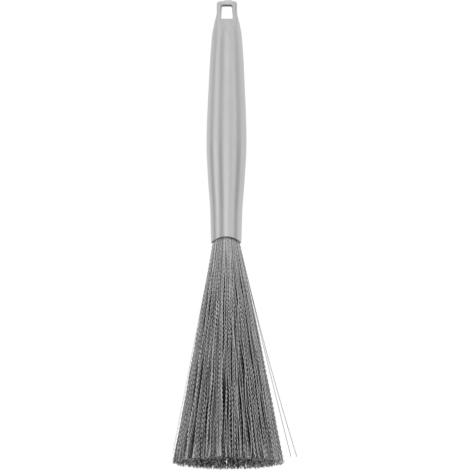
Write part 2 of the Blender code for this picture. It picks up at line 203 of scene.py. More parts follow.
class StageSettings(bpy.types.PropertyGroup):
    elevation: bpy.props.FloatProperty(
        name="Camera elevation", description="Angle of the camera above the horizon",
        default=math.radians(-7.4), subtype="ANGLE")
    roll: bpy.props.FloatProperty(
        name="Camera roll", description="Small tilt that leans the brush's top to the right",
        default=math.radians(0.19), subtype="ANGLE")
    distance: bpy.props.FloatProperty(
        name="Camera distance", description="From the camera to the aim point",
        default=10.0, unit="LENGTH")
    frame_width: bpy.props.FloatProperty(
        name="Frame width", description="Width of the picture at the brush",
        default=247.4 * MM, unit="LENGTH")
    aim_side: bpy.props.FloatProperty(
        name="Aim side", description="How far right of the handle's axis the camera aims",
        default=4.63 * MM, unit="LENGTH")
    aim_height: bpy.props.FloatProperty(
        name="Aim height", description="Height that the camera aims at",
        default=121.1 * MM, unit="LENGTH")
    floor: bpy.props.FloatVectorProperty(
        name="Floor", description="Colour of the pale floor",
        default=(0.75, 0.75, 0.75), size=3, min=0.0, max=1.0, subtype="COLOR")
    fill: bpy.props.FloatProperty(
        name="Fill", description="Strength of the even studio light",
        default=0.95, min=0.0, max=2.0)
    key_power: bpy.props.FloatProperty(
        name="Key power", description="Power of the softbox overhead",
        default=1.6, min=0.0, subtype="POWER")


def settings_of(context):
    return context.scene.brush_handle, context.scene.brush_wires, context.scene.brush_stage


def link(item):
    bpy.context.scene.collection.objects.link(item)
    return item


def dress(item, material, slot, *nodes):
    """Gives a piece its material, sets it on its body and lets it stand for CAD nodes; the slot is not
    used.
    """
    item.data.materials.append(material)
    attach(item, BODY)
    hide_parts(*nodes)


# Shader helpers

class Nodes:
    """Adds nodes to a tree from left to right and links them by socket name."""

    def __init__(self, tree):
        self.tree = tree
        self.count = 0

    def add(self, kind, inputs=None, **values):
        node = self.tree.nodes.new(kind)
        node.location = (220 * self.count, 0)
        self.count += 1
        for name, value in values.items():
            setattr(node, name, value)
        for key, value in (inputs or {}).items():
            if isinstance(value, bpy.types.NodeSocket):
                self.tree.links.new(value, node.inputs[key])
            else:
                node.inputs[key].default_value = value
        return node

    def math(self, operation, first, second=0.0, third=0.0, clamp=False):
        inputs = {0: first, 1: second, 2: third}
        return self.add("ShaderNodeMath", inputs, operation=operation, use_clamp=clamp).outputs[0]

    def scaled(self, value, low, high, to_low, to_high):
        inputs = {"Value": value, "From Min": low, "From Max": high, "To Min": to_low,
                  "To Max": to_high}
        return self.add("ShaderNodeMapRange", inputs, clamp=True).outputs["Result"]

    def swung(self, grain, low, high):
        """Spreads the usual range of a grain over low to high."""
        return self.scaled(grain, 0.3, 0.7, low, high)

    def mixed(self, factor, first, second, kind="FLOAT"):
        """Goes from the first value to the second, or between colours where kind is RGBA."""
        start, result = (2, 0) if kind == "FLOAT" else (6, 2)
        inputs = {0: factor, start: first, start + 1: second}
        return self.add("ShaderNodeMix", inputs, data_type=kind).outputs[result]

    def noise(self, vector, scale=1.0, detail=2.0, roughness=0.5):
        inputs = {"Vector": vector, "Scale": scale, "Detail": detail, "Roughness": roughness}
        return self.add("ShaderNodeTexNoise", inputs).outputs["Fac"]

    def stretched(self, vector, across, along):
        return self.add("ShaderNodeVectorMath", {0: vector, 1: (across, across, along)},
                        operation="MULTIPLY").outputs[0]

    def tinted(self, colour, factor):
        """The colour times a grey factor."""
        node = self.add("ShaderNodeVectorMath", {0: colour, "Scale": factor}, operation="SCALE")
        return node.outputs[0]


def new_group(name, inputs, outputs):
    """An empty node group with these float or vector sockets, and its two end nodes."""
    group = bpy.data.node_groups.new(name, "ShaderNodeTree")
    for label, default in inputs:
        kind = "NodeSocketVector" if default is None else "NodeSocketFloat"
        socket = group.interface.new_socket(label, in_out="INPUT", socket_type=kind)
        if default is not None:
            socket.default_value = default
    for label in outputs:
        group.interface.new_socket(label, in_out="OUTPUT", socket_type="NodeSocketFloat")
    nodes = Nodes(group)
    return group, nodes, nodes.add("NodeGroupInput").outputs, nodes.add("NodeGroupOutput").inputs


# Scratches per metre across the brushing, and along it as a share of that
FINENESS = 2400.0
LENGTHWISE = 0.012

# Strength and depth of the relief, and what handling marks do to the handle's steel
STEEL_RELIEF = (0.06, 0.03 * MM)
WIRE_RELIEF = (0.05, 0.01 * MM)
MARKS_DARKEN = 0.05
MARKS_ROUGHEN = 0.08

# Depths below the loop's face where the eye's polish starts to fade and ends, giving way to painted
# shade on the rougher walls, and the roughness inside
POLISH_AND_LIGHT_FADE = 0.1 * MM
POLISH_AND_LIGHT_END = 0.5 * MM
EYE_ROUGHNESS = 0.45

# Painted shade on the wires under the lip: where it falls by side and by height above the lip, and how
# dark it makes them, turning to a painted highlight at the far left
LIP_SHADE_FROM_LEFT = (-7.0 * MM, -1.5 * MM)
LIP_SHADE_TO_RIGHT = (5.2 * MM, 6.6 * MM)
LIP_SHADE_HEIGHTS = (-1.4 * MM, -0.3 * MM)
LEFT_LIP_SHADE = -0.3
LIP_SHADE = 0.5
# Heights below the lip over which the wires get slightly darker towards it, and the factor nearest the
# lip
DARKER_TOWARD_LIP = (-45.0 * MM, -5.0 * MM)
AT_LIP_FACTOR = 0.96
BRIGHTEST = 1.18
NEVER_ZERO = 1e-9


def brushed_grain():
    """Fine scratches along Z with broad lighter and darker lanes, from a place on the surface."""
    name = "Brushed grain"
    if name in bpy.data.node_groups:
        return bpy.data.node_groups[name]
    inputs = (("Place", None), ("Fineness", FINENESS), ("Length", LENGTHWISE), ("Lanes", 0.5))
    group, nodes, given, out = new_group(name, inputs, ("Tone", "Height"))
    across = given["Fineness"]
    lengthwise = nodes.math("MULTIPLY", across, given["Length"])
    scale = nodes.add("ShaderNodeCombineXYZ", {0: across, 1: across, 2: lengthwise}).outputs[0]
    spot = nodes.add("ShaderNodeVectorMath", {0: given["Place"], 1: scale},
                     operation="MULTIPLY").outputs[0]
    fine = nodes.noise(spot, detail=3.0, roughness=0.6)
    lanes = nodes.noise(nodes.stretched(given["Place"], across=420.0, along=5.0))
    group.links.new(nodes.mixed(given["Lanes"], fine, lanes), out["Tone"])
    group.links.new(fine, out["Height"])
    return group


def wear_marks():
    """Faint handling marks: 1 in thin crossing scratches and soft smudges, 0 elsewhere."""
    name = "Wear marks"
    if name in bpy.data.node_groups:
        return bpy.data.node_groups[name]
    group, nodes, given, out = new_group(name, (("Place", None), ("Amount", 0.5)), ("Mask",))
    inputs = {"Vector": given["Place"], "Axis": (1, 0.3, 0.2), "Angle": math.radians(63)}
    turned = nodes.add("ShaderNodeVectorRotate", inputs).outputs[0]
    thin = nodes.noise(nodes.stretched(turned, across=900.0, along=60.0), detail=1.0)
    scratches = nodes.scaled(thin, 0.68, 0.74, 0.0, 1.0)
    soft = nodes.noise(given["Place"], scale=160.0, detail=3.0, roughness=0.55)
    smudges = nodes.scaled(soft, 0.5, 0.75, 0.0, 0.6)
    both = nodes.math("MAXIMUM", scratches, smudges)
    group.links.new(nodes.math("MULTIPLY", both, given["Amount"], clamp=True), out["Mask"])
    return group


def new_metal(name):
    material = bpy.data.materials.new(name)
    material.use_nodes = True
    nodes = Nodes(material.node_tree)
    shader = material.node_tree.nodes["Principled BSDF"]
    shader.inputs["Metallic"].default_value = 1.0
    place = nodes.add("ShaderNodeTexCoord").outputs["Object"]
    return material, nodes, shader, place


def finish_metal(nodes, shader, colour, roughness, height, relief):
    """Links a metal's colour, roughness and relief, which has a strength and a depth."""
    strength, depth = relief
    inputs = {"Strength": strength, "Distance": depth, "Height": height}
    normal = nodes.add("ShaderNodeBump", inputs).outputs[0]
    for name, value in (("Base Color", colour), ("Roughness", roughness), ("Normal", normal)):
        nodes.tree.links.new(value, shader.inputs[name])


def use_group(nodes, group, **inputs):
    return nodes.add("ShaderNodeGroup", inputs, node_tree=group).outputs


def brushed_steel(name, colour, roughness, fineness=FINENESS, length=LENGTHWISE, wear=0.5):
    """Steel brushed along Z: the grain changes its colour, gloss and relief a little."""
    material, nodes, shader, place = new_metal(name)
    grain = use_group(nodes, brushed_grain(), Place=place, Fineness=fineness, Length=length)
    marks = use_group(nodes, wear_marks(), Place=place, Amount=wear)["Mask"]
    shade = nodes.swung(grain["Tone"], 0.93, 1.07)
    shade = nodes.math("SUBTRACT", shade, nodes.math("MULTIPLY", marks, MARKS_DARKEN))
    rough = nodes.scaled(grain["Height"], 0.25, 0.75, roughness - 0.05, roughness + 0.06)
    rough = nodes.math("ADD", rough, nodes.math("MULTIPLY", marks, MARKS_ROUGHEN))
    tinted = nodes.tinted(tuple(colour), shade)
    finish_metal(nodes, shader, tinted, rough, grain["Height"], STEEL_RELIEF)
    return material


def shaded_eye_steel(handle):
    """The handle's steel on the eye's rim; the walls inside it are rougher, and darker with painted
    shade.
    """
    material = brushed_steel("shaded_eye_steel", handle.steel, handle.roughness)
    nodes = Nodes(material.node_tree)
    shader = material.node_tree.nodes["Principled BSDF"]
    place = nodes.add("ShaderNodeTexCoord").outputs["Object"]
    depth = nodes.math("ABSOLUTE", nodes.add("ShaderNodeSeparateXYZ", {0: place}).outputs[1])
    half = handle.loop_depth / 2
    # Painted shade and more roughness on the walls inside the eye
    inside = nodes.scaled(depth, half - POLISH_AND_LIGHT_END, half - POLISH_AND_LIGHT_FADE, 1.0, 0.0)
    grain = use_group(nodes, brushed_grain(), Place=place, Fineness=1800.0, Length=0.3)["Tone"]
    wall = nodes.tinted(tuple(handle.shaded_eye_steel), nodes.swung(grain, 0.85, 1.15))
    for name, value, kind in (("Base Color", wall, "RGBA"), ("Roughness", EYE_ROUGHNESS, "FLOAT")):
        rim = shader.inputs[name].links[0].from_socket
        nodes.tree.links.new(nodes.mixed(inside, rim, value, kind), shader.inputs[name])
    return material


def bright_wire(handle, wires):
    """Drawn wire whose brightness per point comes from the mesh, with painted shade where the bundle
    leaves the mouth under the lip.
    """
    material, nodes, shader, place = new_metal("bright_crimped_wire")
    tone_and_shading = nodes.add("ShaderNodeAttribute", attribute_name="tone_and_shading").outputs["Fac"]
    grain = use_group(nodes, brushed_grain(), Place=place, Fineness=5000.0, Length=0.2, Lanes=0.2)
    shade = nodes.math("MULTIPLY", tone_and_shading, nodes.swung(grain["Tone"], 0.85, 1.15))
    parts = nodes.add("ShaderNodeSeparateXYZ", {0: place}).outputs
    square_x = nodes.math("MULTIPLY", parts[0], parts[0])
    square_y = nodes.math("MULTIPLY", parts[1], parts[1])
    square = nodes.math("ADD", nodes.math("ADD", square_x, square_y), NEVER_ZERO)
    front = nodes.math("DIVIDE", square_y, square)
    lip = nodes.math("MULTIPLY_ADD", front, handle.mouth_scoop, MOUTH_Z)
    above = nodes.math("SUBTRACT", parts[2], lip)
    # Painted shade on the wires just under the lip, fading out at the right and turning to a painted
    # highlight at the far left
    left = nodes.scaled(parts[0], *LIP_SHADE_FROM_LEFT, LEFT_LIP_SHADE, 1.0)
    right = nodes.scaled(parts[0], *LIP_SHADE_TO_RIGHT, 1.0, 0.0)
    lip_shading = nodes.math("MULTIPLY", nodes.math("MULTIPLY", left, right),
                         nodes.scaled(above, *LIP_SHADE_HEIGHTS, 0.0, LIP_SHADE))
    shade = nodes.math("MULTIPLY", shade, nodes.math("SUBTRACT", 1.0, lip_shading))
    # Slightly darker towards the lip, then capped at the brightest
    toward_lip = nodes.scaled(above, *DARKER_TOWARD_LIP, 1.0, AT_LIP_FACTOR)
    shade = nodes.math("MINIMUM", nodes.math("MULTIPLY", shade, toward_lip), BRIGHTEST)
    rough = nodes.swung(grain["Height"], wires.roughness - 0.06, wires.roughness + 0.08)
    tinted = nodes.tinted(tuple(wires.steel), shade)
    finish_metal(nodes, shader, tinted, rough, grain["Height"], WIRE_RELIEF)
    return material


# Outline of the handle

def slope_at(stations, i):
    """Slope of a smooth outline at a station, flat where the outline turns back."""
    if i in (0, len(stations) - 1):
        j = max(i - 1, 0)
        return (stations[j + 1][1] - stations[j][1]) / (stations[j + 1][0] - stations[j][0])
    before = (stations[i][1] - stations[i - 1][1]) / (stations[i][0] - stations[i - 1][0])
    after = (stations[i + 1][1] - stations[i][1]) / (stations[i + 1][0] - stations[i][0])
    if before * after <= 0:
        return 0.0
    return 2 * before * after / (before + after)


def along(stations, z):
    """Value at height z of the smooth outline through the stations."""
    last = len(stations) - 2
    i = max(k for k in range(last + 1) if k == 0 or stations[k][0] <= z)
    (z0, value0), (z1, value1) = stations[i], stations[i + 1]
    span = z1 - z0
    t = min(max((z - z0) / span, 0.0), 1.0)
    rise = value1 - value0
    start = slope_at(stations, i) * span
    end = slope_at(stations, i + 1) * span
    return value0 + t * (start + t * (3 * rise - 2 * start - end + t * (start + end - 2 * rise)))


def ease(t):
    """Smooth at both ends, for t from 0 to 1."""
    return t * t * (3 - 2 * t)


def handle_section(handle, z):
    """Width, depth and squareness of the handle's outer section at height z."""
    width = along(WIDTHS, z)
    flatness = (z - (TOP_Z - SHOULDER_DROP)) / (SHOULDER_DROP - LOOP_DROP)
    flatness = ease(min(max(flatness, 0.0), 1.0))
    depth = width * (1 - flatness) + handle.loop_depth * flatness
    squareness = 2 + (LOOP_SQUARENESS - 2) * flatness
    over = z - (TOP_Z - handle.crown_rounding)
    if over > 0:
        radius = handle.crown_rounding
        drawn_in = radius - math.sqrt(max(radius**2 - over**2, 0.0))
        width -= 2 * drawn_in
        depth -= 2 * drawn_in
    return width, depth, squareness


def oval_point(angle, width, depth, squareness):
    power = 2 / squareness
    x = math.copysign(abs(math.cos(angle)) ** power, math.cos(angle)) * width / 2
    y = math.copysign(abs(math.sin(angle)) ** power, math.sin(angle)) * depth / 2
    return x, y


def face_depth(handle, x, z):
    """How far in front of the axis the handle's outer face lies at (x, z)."""
    width, depth, squareness = handle_section(handle, z)
    share = min(abs(2 * x / width), 1.0)
    return depth / 2 * (1 - share**squareness) ** (1 / squareness)


def steps_between(low, high, step):
    """Evenly spaced values about a step apart, from low on and without high."""
    count = max(1, round((high - low) / step))
    return [low + (high - low) * i / count for i in range(count)]


def loft(bm, rings, joined=False, capped=False):
    """Quads between rings of equally many points, joined end to start or capped at both ends."""
    loops = [[bm.verts.new(point) for point in ring] for ring in rings]
    pairs = list(zip(loops, loops[1:]))
    if joined:
        pairs.append((loops[-1], loops[0]))
    for lower, upper in pairs:
        for i, start in enumerate(lower):
            j = (i + 1) % len(lower)
            bm.faces.new((start, lower[j], upper[j], upper[i]))
    if capped:
        bm.faces.new(reversed(loops[0]))
        bm.faces.new(loops[-1])


def mesh_object(name, bm):
    bmesh.ops.recalc_face_normals(bm, faces=bm.faces)
    mesh = bpy.data.meshes.new(name)
    bm.to_mesh(mesh)
    bm.free()
    mesh.shade_smooth()
    return link(bpy.data.objects.new(name, mesh))


def apply_modifiers(item):
    graph = bpy.context.evaluated_depsgraph_get()
    mesh = bpy.data.meshes.new_from_object(item.evaluated_get(graph))
    item.modifiers.clear()
    item.data = mesh


# Handle skin

SKIN_POINTS = 96
SKIN_ANGLES = [2 * math.pi * i / SKIN_POINTS for i in range(SKIN_POINTS)]
ARC_STEPS = 8
QUARTER_TURN = [math.pi / 2 * i / ARC_STEPS for i in range(ARC_STEPS + 1)]
BODY_STEP = 2.2 * MM
SHOULDER_STEP = 0.45 * MM
LIP_SUPPORT = 0.15 * MM
LIP_EDGE = 0.12 * MM
LIP_CORNER = LIP_EDGE / 3
DOME_SHIFT = 1.2 * MM
DOME_STEEPNESS = 3
LINER_WALL = 0.6 * MM
SMOOTH_BELOW = math.radians(40)


def lip_profile(handle):
    """(height above an unscooped mouth, inset) from the bore over the rolled lip to the side."""
    roll, wall = handle.lip_roll, handle.wall
    bore = [(CUP_TOP_Z - MOUTH_Z, wall), (CUP_RIM_Z - MOUTH_Z, wall), (2 * roll, roll), (roll, roll)]
    edge = [(LIP_EDGE, roll), (LIP_CORNER, roll - LIP_CORNER)]
    side = [(roll - roll * math.cos(t), roll - roll * math.sin(t)) for t in QUARTER_TURN]
    return bore + edge + [point for point in side if point[1] < roll - LIP_EDGE]


def skin_ring(handle, height, inset):
    """One ring of the skin, lifted at front and back where the mouth's scoop reaches it."""
    lift = handle.mouth_scoop * max(0.0, 1 - height / handle.scoop_fade)
    ring = []
    for angle in SKIN_ANGLES:
        z = MOUTH_Z + height + lift * math.sin(angle) ** 2
        width, depth, squareness = handle_section(handle, z)
        x, y = oval_point(angle, width - 2 * inset, depth - 2 * inset, squareness)
        ring.append(Vector((x, y, z)))
    return ring


def crown_rings(handle):
    """The low welded dome over the crown, a little right of the axis."""
    width, depth, squareness = handle_section(handle, TOP_Z)
    rings = []
    for i in range(1, ARC_STEPS):
        share = 1 - i / ARC_STEPS
        shift = DOME_SHIFT * (1 - share)
        z = TOP_Z + handle.dome_height * (1 - share**2) ** DOME_STEEPNESS
        ring = [oval_point(angle, width * share, depth * share, squareness) for angle in SKIN_ANGLES]
        rings.append([Vector((x + shift, y, z)) for x, y in ring])
    return rings


def skin_heights(handle):
    """Heights of the skin's rings above the mouth, from the rolled lip to the crown."""
    shoulder = TOP_Z - SHOULDER_DROP - MOUTH_Z
    crown = TOP_Z - handle.crown_rounding - MOUTH_Z
    heights = steps_between(handle.lip_roll + LIP_SUPPORT, shoulder, BODY_STEP)
    heights += steps_between(shoulder, crown, SHOULDER_STEP)
    return heights + [crown + handle.crown_rounding * math.sin(t) for t in QUARTER_TURN]


def eye_outline(handle, grow):
    """The eye's rounded outline in x and z, grown all round."""
    top, foot = eye_span()
    outline = []
    for side, high, start in ((1, True, 0), (-1, True, 90), (-1, False, 180), (1, False, 270)):
        radius = (handle.eye_rounding if high else handle.eye_foot_rounding) + grow
        z = top + grow - radius if high else foot - grow + radius
        share = (top - z) / (top - foot)
        width = handle.eye_top_width + (handle.eye_foot_width - handle.eye_top_width) * share
        middle = width / 2 + grow - radius
        for i in range(ARC_STEPS + 1):
            turn = math.radians(start + 90 * i / ARC_STEPS)
            outline.append((side * middle + radius * math.cos(turn), z + radius * math.sin(turn)))
    return outline


def eye_span():
    """Heights of the eye's top and foot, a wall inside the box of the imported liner."""
    low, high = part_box("eye_liner")
    return high.z - LINER_WALL, low.z + LINER_WALL


def cut_eye(handle, skin):
    """Cuts the eye through the skin, a little larger than the rim that lines it."""
    outline = eye_outline(handle, handle.eye_edge)
    reach = handle.loop_depth
    bm = bmesh.new()
    loft(bm, [[Vector((x, y, z)) for x, z in outline] for y in (reach, -reach)], capped=True)
    cutter = mesh_object("eye_cutter", bm)
    boolean = skin.modifiers.new("eye", "BOOLEAN")
    boolean.operation = "DIFFERENCE"
    boolean.object = cutter
    apply_modifiers(skin)
    bpy.data.objects.remove(cutter)
    skin.data.shade_smooth()
    skin.data.set_sharp_from_angle(angle=SMOOTH_BELOW)


RIM_LAP = 0.12 * MM
RIM_PROUD = 0.03 * MM
RIM_TUCK = 0.25 * MM
WALL_RING = 0.45


def rim_profile(handle):
    """(outward growth, share of the face's depth, depth behind the face) from front to back."""
    edge = handle.eye_edge
    front = [(edge + 2 * RIM_LAP, 1, RIM_TUCK), (edge + RIM_LAP, 1, -RIM_PROUD)]
    for t in QUARTER_TURN:
        front.append((edge - edge * math.sin(t), 1, edge - edge * math.cos(t) - RIM_PROUD))
    back = [(grow, -share, behind) for grow, share, behind in reversed(front)]
    return front + [(0.0, WALL_RING, 0.0), (0.0, -WALL_RING, 0.0)] + back


def rim_ring(handle, grow, share, behind):
    ring = []
    for x, z in eye_outline(handle, grow):
        depth = share * face_depth(handle, x, z)
        ring.append(Vector((x, -depth + math.copysign(behind, share), z)))
    return ring


# Wires

def sector(hank):
    """Radii and angles of a hank's place in the round bundle, in shares of its radius."""
    core = math.sqrt(1 / HANKS)
    middle = math.sqrt((1 + MIDDLE_HANKS) / HANKS)
    if hank == 0:
        return 0.0, core, 0.0, 2 * math.pi
    if hank <= MIDDLE_HANKS:
        step = 2 * math.pi / MIDDLE_HANKS
        return core, middle, (hank - 1) * step, hank * step
    step = 2 * math.pi / OUTER_HANKS
    turn = hank - 1 - MIDDLE_HANKS
    return middle, 1.0, turn * step, (turn + 1) * step


def scatter_roots(rng, hank, count):
    """Random places of the wires in the bundle, as radius and angle, outermost first."""
    inner, outer, start, end = sector(hank)
    radius = np.sqrt(rng.uniform(inner**2, outer**2, count))
    angle = rng.uniform(start, end, count)
    order = np.argsort(-radius)
    return radius[order], angle[order]


# How the wires gather below the mouth, in small bunches and larger locks
WIRES_PER_BUNCH = 2.4
WIRES_PER_LOCK = 20
MIDDLING_ROUNDS = 5
BUNCH_PULL = 0.84
LOCK_PULL = 0.04
PULLED_BY = 0.2
BULGE_RIGHT = 0.06

# Crimps: their size and phase by bunch and by wire, and how they grow down the bundle
CRIMPS = (0.65, 1.2)
WAVING_OUT = 0.55
LEAN_SPREAD = 0.3
BUNCH_PHASES = 0.12
WIRE_PHASES = 0.04
STRETCHES = (0.85, 1.15)
STRETCH_SPREAD = 0.05
CRIMP_GROWTH = 1.9
LOOSENING = 48.0 * MM
MOUTH_CRIMP = 0.28

# Slow bends, and the tips' splay and raggedness
WANDER = 0.3 * MM
WIRE_WANDER = WANDER / 3
WANDER_LENGTH = 38.0 * MM
WANDER_GROWTH = 3
TIP_SPLAY = 0.3 * MM
SPLAY_LENGTH = 12.0 * MM
RAGGEDNESS = 0.16 * MM
BUNCH_RAGGEDNESS = 0.22 * MM
LONG_GAP = 2.6 * MM
GAP_RARITY = 12

# Tones by bunch, by wire and by bunch at the tips, with painted shade deep in the bundle, painted
# shade and highlights at its sides, painted highlights on crests and on the tip ends, and how the deep
# shade fades towards the tips
BUNCH_TONES = (0.88, 1.14)
WIRE_TONES = (0.5, 1.45)
END_TONES = (0.1, 2.0)
DEEP_RADIUS = 0.87
DEEP_SHADE = 0.13
SIDE_START = 0.72
SIDE_FULL = 0.9
SIDE_BRIGHTEST = 1.1
SIDE_DARKEST = 0.4
CREST_SHINE = 0.3
SHINE_FADE = 46.0 * MM
MOUTH_SHINE = 0.3
TIP_SHINE = 1.6
TIP_SHADE = 0.72
TIP_SHADE_LENGTH = 10.0 * MM

# Meshes of the wires
ROOT_LAP = 2.0 * MM
POINTS_PER_WAVE = 4
WIRE_SIDES = 4
SHORTEST_STEP = 1e-7
THICKNESSES = (0.92, 1.06)
STRIP_GAP = 0.1


def bunched(rng, x, y, bunches):
    """Bunch number of each wire, and the middle of its bunch, from evenly spread middles."""
    first = rng.choice(len(x), bunches, replace=False)
    middle_x, middle_y = x[first], y[first]
    for _ in range(MIDDLING_ROUNDS):
        apart = (x[:, None] - middle_x) ** 2 + (y[:, None] - middle_y) ** 2
        bunch = apart.argmin(1)
        for number in np.unique(bunch):
            middle_x[number] = x[bunch == number].mean()
            middle_y[number] = y[bunch == number].mean()
    return bunch, middle_x[bunch], middle_y[bunch]


def side_shading(x, crimp):
    """Painted shade and highlights at both sides of the bundle: factors that make deep crimps dark
    there and shallow ones bright.
    """
    side = np.clip((np.abs(x) - SIDE_START) / (SIDE_FULL - SIDE_START), 0, 1)
    deep = np.clip((crimp - CRIMPS[0]) / (CRIMPS[1] - CRIMPS[0]), 0, 1)
    return 1 + side * (SIDE_BRIGHTEST + (SIDE_DARKEST - SIDE_BRIGHTEST) * deep - 1)


def hank_looks(rng, hank, count):
    """Place in the bundle, crimp, brightness, depth for painted shade and tip of each wire of a hank,
    outermost first; the brightness holds painted shade and highlights at the bundle's sides.
    """
    radius, angle = scatter_roots(rng, hank, count)
    x, y = radius * np.cos(angle), radius * np.sin(angle)
    bunches = round(count / WIRES_PER_BUNCH)
    bunch, middle_x, middle_y = bunched(rng, x, y, bunches)
    _, lock_x, lock_y = bunched(rng, x, y, round(count / WIRES_PER_LOCK))
    pulled_x = x + BUNCH_PULL * (middle_x - x)
    pulled_y = y + BUNCH_PULL * (middle_y - y)
    turned = np.where(rng.random(bunches) < WAVING_OUT, 0.0, math.pi / 2)
    lean = np.arctan2(middle_y, middle_x) + turned[bunch]
    tip = rng.exponential(RAGGEDNESS, count) + rng.uniform(0, BUNCH_RAGGEDNESS, bunches)[bunch]
    phase = rng.uniform(0, 1) + rng.normal(0, BUNCH_PHASES, bunches)
    stretch = np.clip(rng.normal(1, STRETCH_SPREAD, bunches), *STRETCHES)
    looks = {
        "x": x,
        "y": y,
        "pulled_x": pulled_x + LOCK_PULL * (lock_x - pulled_x),
        "pulled_y": pulled_y + LOCK_PULL * (lock_y - pulled_y),
        "phase": phase[bunch] + rng.normal(0, WIRE_PHASES, count),
        "stretch": stretch[bunch],
        "crimp": rng.uniform(*CRIMPS, bunches)[bunch],
        "lean": lean + rng.normal(0, LEAN_SPREAD, count),
        "tone_and_shading": rng.uniform(*BUNCH_TONES, bunches)[bunch] * rng.uniform(*WIRE_TONES, count),
        "end_tone": rng.uniform(*END_TONES, bunches)[bunch],
        # Painted shade: how deep the wire lies in the bundle
        "depth": np.clip((1 - radius) / (1 - DEEP_RADIUS), 0, 1),
        "tip": tip + LONG_GAP * rng.random(count) ** GAP_RARITY,
        "wander_x": rng.normal(0, WANDER, bunches)[bunch] + rng.normal(0, WIRE_WANDER, count),
        "wander_y": rng.normal(0, WANDER, bunches)[bunch] + rng.normal(0, WIRE_WANDER, count),
        "wander_turn": rng.uniform(0, 2 * math.pi, bunches)[bunch],
        "splay_x": rng.normal(0, TIP_SPLAY, count),
        "splay_y": rng.normal(0, TIP_SPLAY, count),
    }
    # Painted shade and highlights at the bundle's sides
    looks["tone_and_shading"] *= side_shading(x, looks["crimp"])
    return looks


def spread_place(wires, x, y, share):
    """Place across the brush of wires this share of the way from the mouth to the tips."""
    side = np.where(x > 0, wires.reach_right, wires.reach_left)
    grown = share + BULGE_RIGHT * x * share * (1 - share)
    return (x * (wires.throat + (side - wires.throat) * grown),
            y * (wires.throat + (wires.reach_depth - wires.throat) * grown))


# Partings between the wires in front: side and height of both ends, and half the width, in mm
PARTINGS = (
    (-0.8, 100.0, -1.6, 50.0, 0.62),
    (-0.9, 62.0, -1.6, -30.0, 0.58),
    (2.6, 70.0, 3.2, 34.0, 0.55),
    (4.7, 84.0, 4.6, 58.0, 0.3),
    (6.0, 112.0, 20.9, -2.0, 0.55),
    (8.0, 64.0, 9.9, 28.0, 0.4),
    (-6.1, 112.0, -19.8, 9.0, 0.45),
    (-7.9, 52.0, -10.9, 2.0, 0.32),
    (8.4, 34.0, 9.9, -6.0, 0.3),
)
PARTING_DEPTH = 6.0 * MM
PARTING_TAPER = 0.7


def parted(wires, look, x, z):
    """Sideways places after the wires in front are pushed apart along each parting."""
    for high_x, high_z, low_x, low_z, half in np.array(PARTINGS) * MM:
        share = (MOUTH_Z - (high_z + low_z) / 2) / MOUTH_Z
        wire_x, wire_y = spread_place(wires, look["pulled_x"], look["pulled_y"], share)
        side = np.where(wire_x > (high_x + low_x) / 2, 1.0, -1.0)
        run = np.clip((high_z - z) / (high_z - low_z), 0, 1)
        away = np.maximum(side * (x - high_x - (low_x - high_x) * run), 0)
        front = np.clip(-wire_y / PARTING_DEPTH, 0, 1)
        push = half * front * np.exp(-away / (2 * half)) * np.sin(math.pi * run) ** PARTING_TAPER
        x = x + side * push
    return x


def crimp_drop(wires, turns):
    """Drop along the wire of so many waves, which lengthen towards the tips."""
    return np.expm1(CRIMP_GROWTH * wires.crimp_length * turns) / CRIMP_GROWTH


def crimp_turns(wires, drop):
    return np.log1p(CRIMP_GROWTH * drop) / (CRIMP_GROWTH * wires.crimp_length)


def cut_at(places, uncut, tip):
    """Places along each wire, with the one below its tip moved back up the wire to the tip."""
    kept = np.clip((uncut[:, :-1] - tip) / (uncut[:, :-1] - uncut[:, 1:]), 0, 1)
    before = places[:, :-1]
    return np.hstack((places[:, :1], before + kept * (places[:, 1:] - before)))


